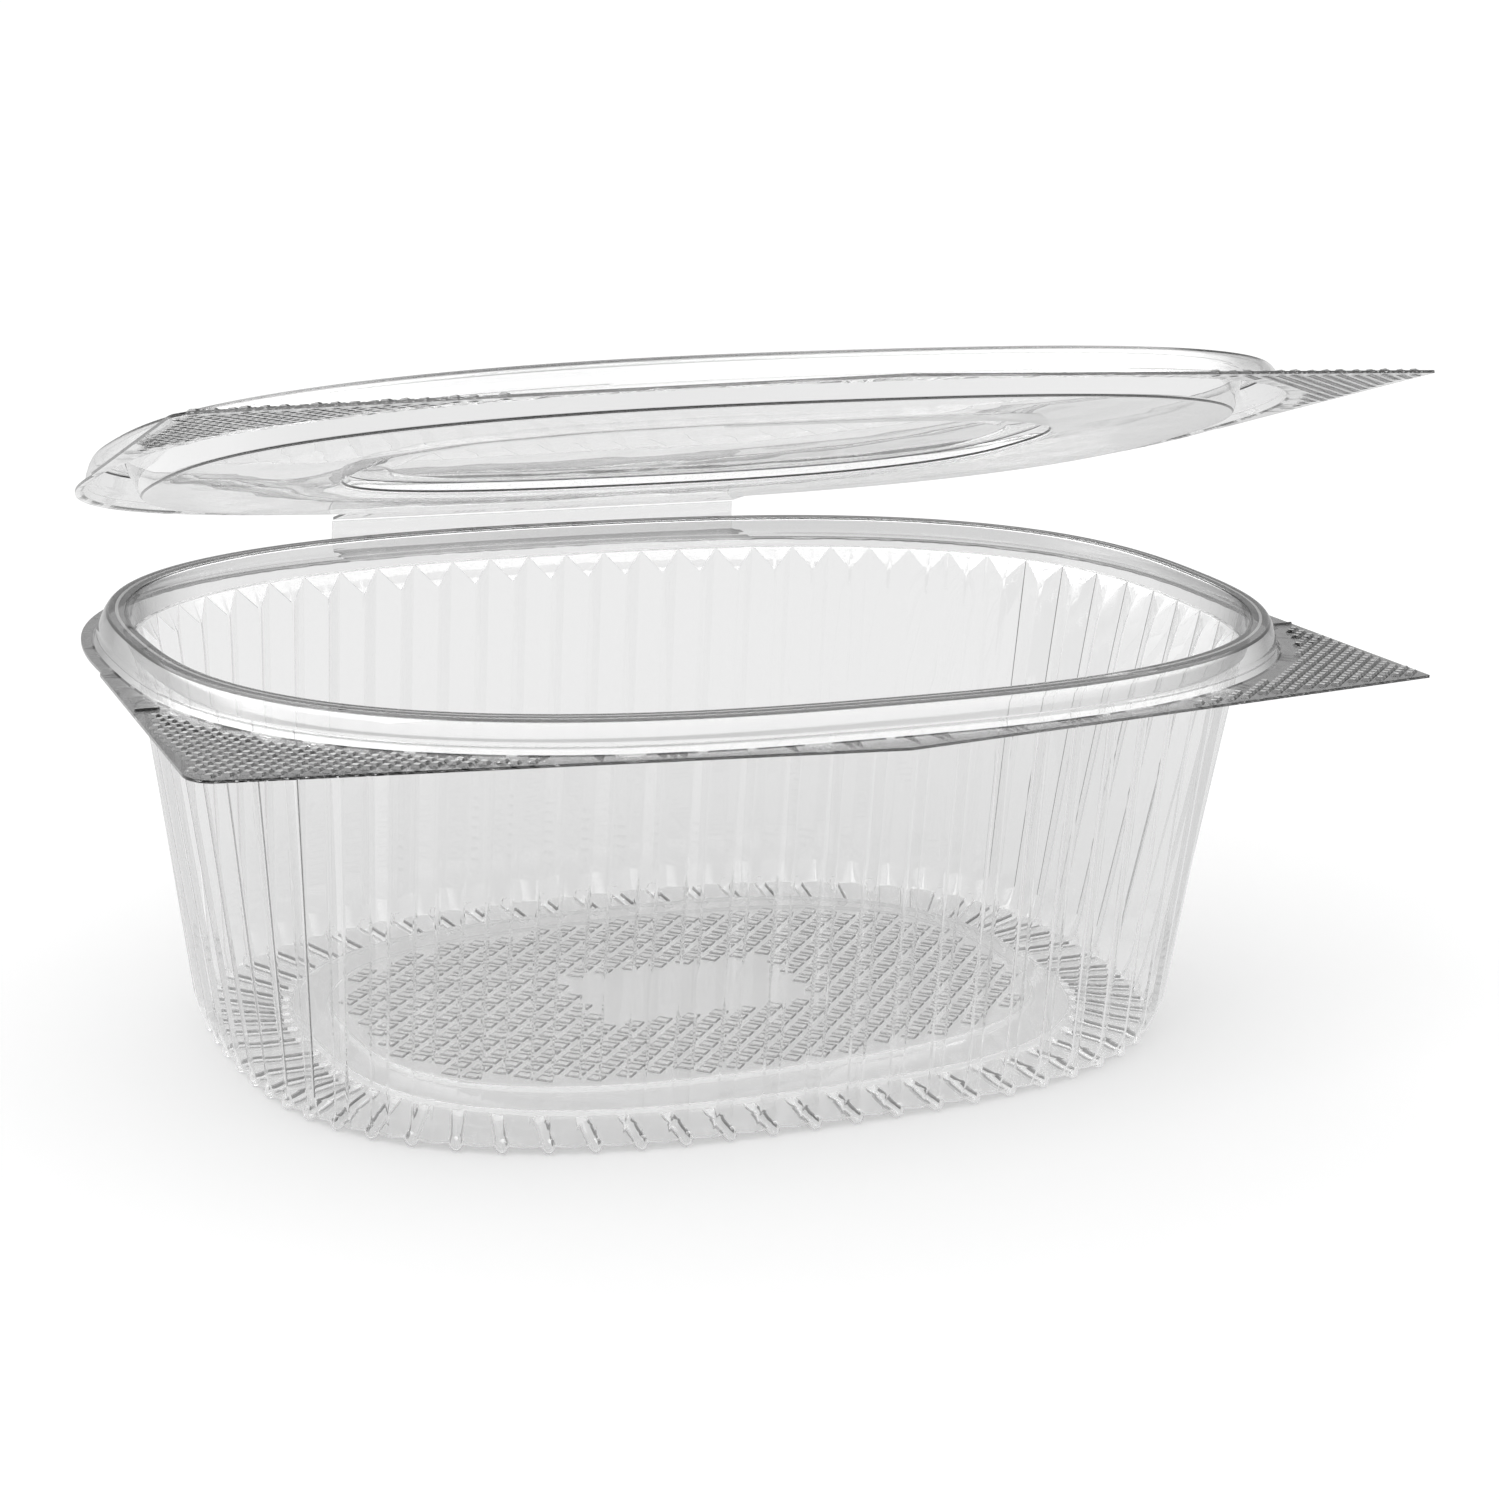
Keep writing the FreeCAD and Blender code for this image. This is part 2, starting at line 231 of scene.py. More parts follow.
def filledSheet(loops, tiles, keep):
    # flat triangles between closed loops, with the outlines of the tiles kept as edges
    points = [Vector(p) for p in np.concatenate(loops + [tiles.reshape(-1, 2)])]
    edges = []
    start = 0
    for count in [len(loop) for loop in loops] + [4] * (tiles.size // 8):
        edges += [(start + k, start + (k + 1) % count) for k in range(count)]
        start += count
    verts, _, faces, sources, *_ = delaunay_2d_cdt(points, edges, [], 0, 1e-6)
    verts = np.array([tuple(v) for v in verts])
    faces = np.array([f for f in faces if len(f) == 3])
    faces = faces[keep(verts[faces].mean(1))]
    a, b, c = (verts[faces[:, k]] for k in range(3))
    area = (b[:, 0] - a[:, 0]) * (c[:, 1] - a[:, 1]) - (b[:, 1] - a[:, 1]) * (c[:, 0] - a[:, 0])
    faces[area < 0] = faces[area < 0][:, ::-1]
    firstTop = sum(len(loop) for loop in loops) + 4
    tops = {firstTop + 8 * k + corner for k in range(len(tiles)) for corner in range(4)}
    raised = np.array([float(any(i in tops for i in source)) for source in sources])
    return verts, faces, raised


def diamondTiles(cell, foot, flat, low, high):
    # a lattice of diamonds, each with the corners of its foot and of its flat top
    tiles = []
    for i in range(math.floor(2 * low[0] / cell[0]), math.ceil(2 * high[0] / cell[0]) + 1):
        for j in range(math.floor(2 * low[1] / cell[1]), math.ceil(2 * high[1] / cell[1]) + 1):
            if (i + j) % 2:
                middle = np.array([i * cell[0] / 2, j * cell[1] / 2])
                way = np.array([(cell[0] / 2, 0), (0, cell[1] / 2), (-cell[0] / 2, 0), (0, -cell[1] / 2)])
                tiles.append([middle + way * foot, middle + way * flat])
    return np.array(tiles)


def whollyInside(tiles, test):
    # the tiles whose corners all pass the test
    return tiles[test(tiles[:, 0].reshape(-1, 2)).reshape(-1, 4).all(1)]


def inOval(points, shape):
    return np.abs(points[:, 0] / shape[0]) ** shape[2] + np.abs(points[:, 1] / shape[1]) ** shape[2] < 1


def flatPart(sheet, height, rimShare, gaugeShare, rise=0.0):
    points, faces, raised = sheet
    count = len(points)
    # knurl tops on rim sheets take the pale sheet: painted highlight
    fields = {"knurlTop": raised, "knurlRise": raised * rise, "tone": -raised * rimShare,
              "rimShare": np.full(count, rimShare), "gaugeShare": np.full(count, gaugeShare)}
    return np.column_stack([points, np.full(count, height)]), faces, fields


flange = {
    "margin": 3.0, "frontReach": 67.4, "tabHalfLength": 101.9, "tabTipReach": 54.6,
    "tabRootHalfLength": 98.6, "leftTabRadius": 4.0, "tongueHalfLength": 38.5,
    "knurlCell": (2.67, 2.18), "knurlHeight": 0.45, "knurlFoot": 0.88, "knurlFlat": 0.46,
    "knurlLow": (-104, -70), "knurlHigh": (104, 0), "knurlBack": -21.0, "knurlMiddle": 50.0,
    "plainBand": 1.3, "plainEdge": 0.3,
    # the fine ridge behind each knurl: place, reach along the flange, half widths and plain edge
    "ridgeBehind": 0.35, "ridgeSpan": (60, 104), "ridgeFoot": 0.16, "ridgeTop": 0.06, "ridgeEnd": 0.1,
    "ridgeEdge": 0.4, "ridgeSteps": 500,
}


def flangeOutline(rearReach):
    # outer edge of a flange: an oval margin, two corner tabs and the hinge tongue
    half, tip = flange["tabHalfLength"], flange["tabTipReach"]
    tab = [(0, -flange["frontReach"]), (half, -tip), (flange["tabRootHalfLength"], 0),
           (-flange["tabRootHalfLength"], 0)]
    corner = np.array([-half, -tip])
    toFront = np.array([0, -flange["frontReach"]]) - corner
    toRoot = np.array([-flange["tabRootHalfLength"], 0]) - corner
    toFront, toRoot = toFront / np.linalg.norm(toFront), toRoot / np.linalg.norm(toRoot)
    half = math.acos(toFront @ toRoot) / 2
    radius = flange["leftTabRadius"]
    centre = corner + (toFront + toRoot) / np.linalg.norm(toFront + toRoot) * radius / math.sin(half)
    first = corner + toRoot * radius / math.tan(half) - centre
    last = corner + toFront * radius / math.tan(half) - centre
    a0, a1 = math.atan2(first[1], first[0]), math.atan2(last[1], last[0])
    a1 += 2 * math.pi if a1 < a0 else 0
    tab += [tuple(centre + radius * np.array([math.cos(a), math.sin(a)])) for a in np.linspace(a0, a1, 9)]
    tongueHalf = flange["tongueHalfLength"]
    tongue = [(-tongueHalf, 0), (tongueHalf, 0), (tongueHalf, rearReach), (-tongueHalf, rearReach)]
    margin = rimOval(flange["margin"])

    def reach(angle):
        way = np.array([math.cos(angle), math.sin(angle)])
        power = margin[2]
        best = (abs(way[0] / margin[0]) ** power + abs(way[1] / margin[1]) ** power) ** (-1 / power)
        for shape in (tab, tongue):
            for p, q in zip(shape, shape[1:] + shape[:1]):
                run = (q[0] - p[0], q[1] - p[1])
                det = way[0] * run[1] - way[1] * run[0]
                if abs(det) > 1e-9:
                    far = (p[0] * run[1] - p[1] * run[0]) / det
                    share = (p[0] * way[1] - p[1] * way[0]) / det
                    if far > best and -1e-9 <= share <= 1 + 1e-9:
                        best = far
        return way * best

    angles = list(np.linspace(0, 2 * math.pi, 720, endpoint=False))
    angles += [math.atan2(y, x) % (2 * math.pi) for x, y in tab + tongue if abs(y) > 1]
    return np.array([reach(a) for a in sorted(set(angles))])


def flangeSheet(innerLoop, innerOval, rearReach, knurlMiddle):
    # flat flange with its knurled tabs
    outline = flangeOutline(rearReach)
    tiles = diamondTiles(flange["knurlCell"], flange["knurlFoot"], flange["knurlFlat"],
                         flange["knurlLow"], flange["knurlHigh"])
    band = insetOval(innerOval, -flange["plainBand"])

    def onPlate(p, edge):
        return ~inOval(p, band) & insidePolygon(p, outline) & (distanceToPolygon(p, outline) > edge)

    def onTab(p):
        behind = (p[:, 1] < flange["knurlBack"]) & (np.abs(p[:, 0]) > knurlMiddle)
        return behind & onPlate(p, flange["plainEdge"])

    tiles = list(whollyInside(tiles, onTab))
    back = flange["knurlBack"] + flange["ridgeBehind"]
    steps = flange["ridgeSteps"]
    for side in (-1, 1):
        row = np.column_stack([side * np.linspace(*flange["ridgeSpan"], steps), np.full(steps, back)])
        row = row[onPlate(row, flange["ridgeEdge"])]
        low, high = sorted((row[0, 0], row[-1, 0]))
        ridge = []
        for end, half in ((0, flange["ridgeFoot"]), (flange["ridgeEnd"], flange["ridgeTop"])):
            ridge.append([(low + end, back - half), (high - end, back - half),
                          (high - end, back + half), (low + end, back + half)])
        tiles.append(ridge)
    return filledSheet([outline, innerLoop], np.array(tiles),
                       lambda p: insidePolygon(p, outline) & ~inOval(p, innerOval))


floorPanel = {
    "channelRise": 0.9, "channelEnd": 5.5, "channelSide": 8.0, "panelRise": 0.9,
    # rows of the steps up to the channel and to the panel: inset, and share of the rise
    "channelRows": ((0.42, 0.03), (0.52, 0.2), (0.68, 0.75), (0.85, 0.97), (1.2, 1.0)),
    "panelRows": ((-0.35, 0.0), (0.05, 0.08), (0.25, 0.6), (0.5, 0.95), (0.9, 1.0)),
    "knurlCell": (5.0, 4.7), "knurlHeight": 0.3, "knurlFoot": 0.72, "knurlFlat": 0.64, "plainEdge": 0.5,
    "patch": [(-18.0, -10.0), (17.0, -10.0), (17.0, 9.6), (-18.0, 9.6)],
}


def floorSheet(edgeLoop, edgeOval):
    # the floor panel: a lattice of flat-topped tiles round a bare patch
    tiles = diamondTiles(floorPanel["knurlCell"], floorPanel["knurlFoot"], floorPanel["knurlFlat"],
                         -edgeOval[:2], edgeOval[:2])
    room = insetOval(edgeOval, floorPanel["plainEdge"])
    tiles = whollyInside(tiles, lambda p: inOval(p, room) & ~insidePolygon(p, floorPanel["patch"]))
    return filledSheet([edgeLoop], tiles, lambda p: np.ones(len(p), bool))


def addNode(tree, kind, inputs=None, **settings):
    node = tree.nodes.new(kind)
    for name, value in settings.items():
        setattr(node, name, value)
    for socket, value in (inputs or {}).items():
        target = node.inputs[socket]
        if isinstance(value, bpy.types.Node):
            value = value.outputs[0]
        if isinstance(value, bpy.types.NodeSocket):
            tree.links.new(value, target)
        else:
            target.default_value = value
    return node


reliefInputs = {"Peak Rounding": 0.16, "Valley Rounding": 0.22, "Flute Scale": 1.0, "Rib Half Width": 0.9,
                "Rib Scale": 1.0, "Knurl Scale": 1.0, "Knurl Wander": 0.1}
sheetInputs = ("Material", "Rim Painted Shade Material", "Painted Bend Shade Material", "Painted Line Shade Material", "Painted Highlight Material")
carried = ("flutePhase", "fluteDepth", "closingDrop", "ribAcross", "ribDrop", "ribOut", "knurlTop",
           "knurlRise", "rimShare", "gaugeShare", "tone")
reliefSeed = 7
# the relief, step by step: result, operation, terms
reliefSteps = (
    # flutes: 0 at a peak, 1 at a valley, both turned over a small radius
    ("peakTurn", "WRAP", "flutePhase", 0.5, -0.5),
    ("fromPeak", "MULTIPLY", "peakTurn", 2.0),
    ("beforePeak", "MULTIPLY", "fromPeak", -1.0),
    ("peak", "SMOOTH_MAX", "fromPeak", "beforePeak", "Peak Rounding"),
    ("halfOn", "ADD", "flutePhase", 0.5),
    ("valleyTurn", "WRAP", "halfOn", 0.5, -0.5),
    ("fromValley", "MULTIPLY", "valleyTurn", 2.0),
    ("beforeValley", "MULTIPLY", "fromValley", -1.0),
    ("valleyDip", "SMOOTH_MAX", "fromValley", "beforeValley", "Valley Rounding"),
    ("valley", "SUBTRACT", 1.0, "valleyDip"),
    ("bothTurns", "ADD", "peak", "valley"),
    ("sharpTurn", "ABSOLUTE", "fromPeak"),
    ("wave", "SUBTRACT", "bothTurns", "sharpTurn"),
    ("waveDepth", "MULTIPLY", "wave", "fluteDepth"),
    ("inwards", "MULTIPLY", "waveDepth", "Flute Scale"),
    ("closing", "MULTIPLY", "wave", "closingDrop"),
    # ribs: a half-round groove across, deepest in its middle
    ("offMiddle", "ABSOLUTE", "ribAcross"),
    ("ribSide", "DIVIDE", "offMiddle", "Rib Half Width"),
    ("ribShare", "MINIMUM", "ribSide", 1.0),
    ("ribFlank", "POWER", "ribShare", 2.4),
    ("hollow", "SUBTRACT", 1.0, "ribFlank"),
    ("hollowDrop", "MULTIPLY", "hollow", "ribDrop"),
    ("groove", "MULTIPLY", "hollowDrop", "Rib Scale"),
    ("nub", "MULTIPLY", "hollow", "ribOut"),
    # knurls: raised tops, no two quite alike
    ("uneven", "MULTIPLY_ADD", "wander", "Knurl Wander", 1.0),
    ("unevenRise", "MULTIPLY", "knurlRise", "uneven"),
    ("lift", "MULTIPLY", "unevenRise", "Knurl Scale"),
    ("outwards", "SUBTRACT", "nub", "inwards"),
    ("outwardsMetres", "MULTIPLY", "outwards", mm),
    ("dropped", "SUBTRACT", "lift", "closing"),
    ("upwards", "SUBTRACT", "dropped", "groove"),
    ("upwardsMetres", "MULTIPLY", "upwards", mm),
)


def reliefTree():
    # shapes a plain sheet: flutes and their closing triangles, ribs with nubs, and knurls
    tree = bpy.data.node_groups.new("formedRelief", "GeometryNodeTree")
    kinds = [("Sheet", "Geometry")] + [(name, "Float") for name in reliefInputs]
    for name, kind in kinds + [(name, "Material") for name in sheetInputs]:
        socket = tree.interface.new_socket(name, in_out="INPUT", socket_type="NodeSocket" + kind)
        if name in reliefInputs:
            socket.default_value = reliefInputs[name]
    tree.interface.new_socket("Sheet", in_out="OUTPUT", socket_type="NodeSocketGeometry")
    given = addNode(tree, "NodeGroupInput")

    # values by name: the inputs, what the sheet carries, and what is worked out from them
    values = {socket.name: socket for socket in given.outputs}
    for name, kind in [(key, "FLOAT") for key in carried] + [("outward", "FLOAT_VECTOR")]:
        values[name] = addNode(tree, "GeometryNodeInputNamedAttribute", {"Name": name}, data_type=kind)
    values["wander"] = addNode(tree, "FunctionNodeRandomValue", {"Seed": reliefSeed, 2: -1.0, 3: 1.0},
                               data_type="FLOAT").outputs[1]
    for name, operation, *terms in reliefSteps:
        inputs = {k: values[term] if isinstance(term, str) else term for k, term in enumerate(terms)}
        values[name] = addNode(tree, "ShaderNodeMath", inputs, operation=operation)
    sideways = addNode(tree, "ShaderNodeVectorMath", {0: values["outward"], "Scale": values["outwardsMetres"]},
                       operation="SCALE")
    height = addNode(tree, "ShaderNodeCombineXYZ", {"Z": values["upwardsMetres"]})
    offset = addNode(tree, "ShaderNodeVectorMath", {0: sideways, 1: height}, operation="ADD")
    moved = addNode(tree, "GeometryNodeSetPosition", {"Geometry": given.outputs["Sheet"], "Offset": offset})
    shaped = addNode(tree, "GeometryNodeRealizeInstances", {"Geometry": moved})

    # which faces take which sheet; a later one paints over an earlier one. The bend and line sheets are painted
    # shade, the pale sheet a painted highlight
    for name, key, operation, level, within in (
            ("rimmed", "rimShare", "GREATER_THAN", 0.5, 0.0), ("knurlWall", "knurlTop", "EQUAL", 0.5, 0.25),
            ("bend", "tone", "GREATER_THAN", 0.9, 0.0), ("paintedFoldShade", "tone", "EQUAL", 0.7, 0.08),
            ("paintedHighlight", "tone", "LESS_THAN", -0.9, 0.0)):
        values[name] = addNode(tree, "FunctionNodeCompare", {0: values[key], 1: level, 12: within},
                               data_type="FLOAT", operation=operation)
    # knurl walls take a painted grey line, and on the flange a painted dark one: painted shade
    for name, operation, one, other in (("tabWall", "AND", "knurlWall", "rimmed"),
                                        ("line", "OR", "knurlWall", "paintedFoldShade"), ("dark", "OR", "tabWall", "bend")):
        values[name] = addNode(tree, "FunctionNodeBooleanMath", {0: values[one], 1: values[other]},
                               operation=operation)
    for sheetInput, faces in (("Material", None), ("Rim Painted Shade Material", "rimmed"), ("Painted Line Shade Material", "line"),
                              ("Painted Bend Shade Material", "dark"), ("Painted Highlight Material", "paintedHighlight")):
        inputs = {"Geometry": shaped, "Material": given.outputs[sheetInput]}
        if faces:
            inputs["Selection"] = values[faces]
        shaped = addNode(tree, "GeometryNodeSetMaterial", inputs)
    addNode(tree, "NodeGroupOutput", {0: shaped})
    return tree


def sheetMesh(name, points, faces, fields):
    mesh = bpy.data.meshes.new(name)
    mesh.from_pydata([tuple(p) for p in np.asarray(points) * mm], [], [tuple(int(i) for i in f) for f in faces])
    for key, values in fields.items():
        values = np.asarray(values, np.float32)
        kind = "FLOAT_VECTOR" if values.ndim == 2 else "FLOAT"
        attribute = mesh.attributes.new(key, kind, "POINT")
        attribute.data.foreach_set("vector" if values.ndim == 2 else "value", values.ravel())
    return mesh


def joinSheets(parts):
    # several (points, faces, fields) in one, with shared points merged later
    points, faces, fields = [], [], {}
    start = 0
    for somePoints, someFaces, someFields in parts:
        points.append(somePoints)
        faces += [tuple(int(i) + start for i in f) for f in someFaces]
        for key in carried:
            fields.setdefault(key, []).append(someFields.get(key, np.zeros(len(somePoints))))
        fields.setdefault("outward", []).append(someFields.get("outward", np.zeros((len(somePoints), 3))))
        start += len(somePoints)
    return np.concatenate(points), faces, {key: np.concatenate(v) for key, v in fields.items()}


joining = {"merged": 0.004, "sliver": 0.002, "sharpAngle": 30}


def formedPiece(name, parts, relief, settings, sheets, place):
    # a closed sheet, shaped by the relief and given its gauge
    points, faces, fields = joinSheets(parts)
    mesh = sheetMesh(name + "Sheet", points, faces, fields)
    work = bmesh.new()
    work.from_mesh(mesh)
    bmesh.ops.remove_doubles(work, verts=work.verts, dist=joining["merged"] * mm)
    bmesh.ops.dissolve_degenerate(work, edges=work.edges, dist=joining["sliver"] * mm)
    bmesh.ops.recalc_face_normals(work, faces=work.faces)
    if sum(f.normal.z * f.calc_area() for f in work.faces) < 0:
        bmesh.ops.reverse_faces(work, faces=work.faces)
    work.to_mesh(mesh)
    work.free()
    made = bpy.data.objects.new(name, mesh)
    bpy.context.scene.collection.objects.link(made)

    for sheet in sheets:
        mesh.materials.append(sheet)
    shaping = made.modifiers.new("Relief", "NODES")
    shaping.node_group = relief
    sockets = {s.name: s.identifier for s in relief.interface.items_tree if s.in_out == "INPUT"}
    for key, value in settings.items():
        shaping[sockets[key]] = value
    for key, sheet in zip(sheetInputs, sheets):
        shaping[sockets[key]] = sheet
    shares = np.zeros(len(mesh.vertices), np.float32)
    mesh.attributes["gaugeShare"].data.foreach_get("value", shares)
    drawn = made.vertex_groups.new(name="gauge")
    for share in np.unique(shares.round(2)):
        drawn.add([int(k) for k in np.nonzero(shares.round(2) == share)[0]], float(share), "REPLACE")
    wall = made.modifiers.new("Gauge", "SOLIDIFY")
    wall.thickness = sheetGauge * mm
    wall.offset = -1
    wall.use_even_offset = True
    wall.use_quality_normals = True
    wall.use_rim = True
    _, atEdge, paintedBendShade, *_ = sheets
    wall.material_offset_rim = sheets.index(paintedBendShade) - sheets.index(atEdge)  # the cut edge takes the dark bend sheet: painted shade
    wall.vertex_group = "gauge"
    bpy.context.view_layer.update()
    baked = bpy.data.meshes.new_from_object(made.evaluated_get(bpy.context.evaluated_depsgraph_get()))
    made.modifiers.clear()
    made.vertex_groups.clear()
    made.data = baked
    baked.name = name
    for key in [a.name for a in baked.attributes if a.name in fields]:
        baked.attributes.remove(baked.attributes[key])
    baked.transform(place)
    baked.shade_smooth()
    baked.set_sharp_from_angle(angle=math.radians(joining["sharpAngle"]))
    return made


rimCrown = {
    # the fillet on the flange: outwards, upwards, tone (1 a painted dark line of shade at a bend, -1 a painted
    # highlight streak)
    "filletRows": ((0.35, 0.0, 1), (0.08, 0.12, 1), (-0.06, 0.36, 0)),
    # the flared side: share of its height, and swell
    "sideRows": ((0.27, 0.0), (0.34, 0.07), (0.42, 0.0), (0.58, 0.0), (0.68, 0.06), (0.78, 0.0), (0.96, 0.0)),
    "sideLean": 0.9,
    # the broken outer edge, a broad slope and a tight bend: inset, share of the shoulder, tone (1 painted shade)
    "edgeRows": ((0.03, 1.0, 0), (0.13, 0.8, 0), (0.58, 0.28, 1), (0.9, 0.04, 1), (1.2, 0.0, 0)),
    # the flat top: inset and tone (-1 a painted highlight); then the turn into the band: degrees and tone (1
    # painted shade)
    "topRows": ((1.6, 0), (1.95, -1), (2.4, -1)), "topEnd": 1.0,
    "turnRows": ((0, 0), (30, 1), (60, 1), (90, 0)), "turnRadius": 0.5,
}


def addCrown(rings, grow, foot, head, bandEdge):
    # a crown from its foot on the flange, over its top, to the inner edge of its band
    for out, up, tone in rimCrown["filletRows"]:
        rings.addOval(rimOval(rim["flare"] + grow + out), foot + up, tone=tone)
    run = head - foot - rim["shoulder"]
    for share, swell in rimCrown["sideRows"]:
        lean = rim["flare"] * (1 - share) * rimCrown["sideLean"]
        rings.addOval(rimOval(grow + lean + swell), foot + run * share)
    for inset, down, tone in rimCrown["edgeRows"]:
        rings.addOval(rimOval(grow - inset), head - rim["shoulder"] * down, tone=tone)
    for inset, tone in rimCrown["topRows"]:
        rings.addOval(rimOval(grow - inset), head, tone=tone)
    rings.addOval(insetOval(bandEdge, -rimCrown["topEnd"]), head)
    radius = rimCrown["turnRadius"]
    for turn, tone in rimCrown["turnRows"]:
        a = math.radians(turn)
        shape = insetOval(bandEdge, radius * (math.sin(a) - 1))
        rings.addOval(shape, head - radius * (1 - math.cos(a)), tone=tone)


flutes = {
    "count": 68, "depth": 2.1, "depthFoot": 1.7, "depthRing": 0.9, "closing": 3.8,
    "sharpFrom": 0.72, "leanEnd": 10.6, "leanSide": 1.4,
    "seatRun": 0.01, "seatShare": 0.9998, "rows": (0.14, 0.4, 0.7, 0.94, 1.0), "coarseColumns": 5,
    # the band over the seat: share of its draft, and height over the seat as a share or in mm
    "bandRows": ((0.45, rim["seatDrop"] * 0.55), (0.85, 0.6), (0.97, 0.12)), "seatReach": 0.18,
}
feet = {
    # places of the sheet's columns along one flute, and across a rib as shares of its half width
    "columns": ((0, None), (0.018, None), (0.045, None), (0.075, None), (0.2, None), (0.34, -1), (0.415, -0.8),
                (0.443, -0.55), (0.47, -0.28), (0.5, 0), (0.53, 0.28), (0.557, 0.55), (0.585, 0.8), (0.66, 1),
                (0.8, None), (0.925, None), (0.955, None), (0.982, None)),
    "stand": 1.2, "chamferHeight": 4.4, "chamferRun": 1.7, "ringEnd": 13.0, "ringSide": 9.0,
    "squareness": 2.7, "ribHalfWidth": 0.9, "nubReach": 0.95, "ribEdge": (0.75, 1.1),
    # down the chamfer: share of it, nub outwards, nub downwards; and the same where it ends
    "chamferRows": ((0.12, 0, 0), (0.55, 0, 0), (0.74, 0.1, 0.0), (0.88, 0.6, 0.1)),
    "chamferEnd": (0.03, 0.05, 0.32),
    # under the nubs: inset, share of the flutes' depth, share of the nub's reach, drop
    "nubRows": ((0.22, 0.92, 1.0, 0.8), (0.5, 0.6, 0.62, 1.12)),
    # along the ribs: inset and share across the ring; and at their inner ends, with share of the drop
    "ribRows": ((1.1, 0.0), (0.0, 0.3), (0.0, 0.6), (0.0, 0.9)),
    "ribEnds": ((-0.35, 1.0, 0.85), (0.0, 1.0, 0.35)), "ringInset": 0.3,
}
# the tone that paints a soft fold as a thin grey line: painted shade
paintedFoldShadeTone = 0.7
ringHeight = feet["stand"] + sheetGauge
wallFootHeight = feet["stand"] + feet["chamferHeight"]


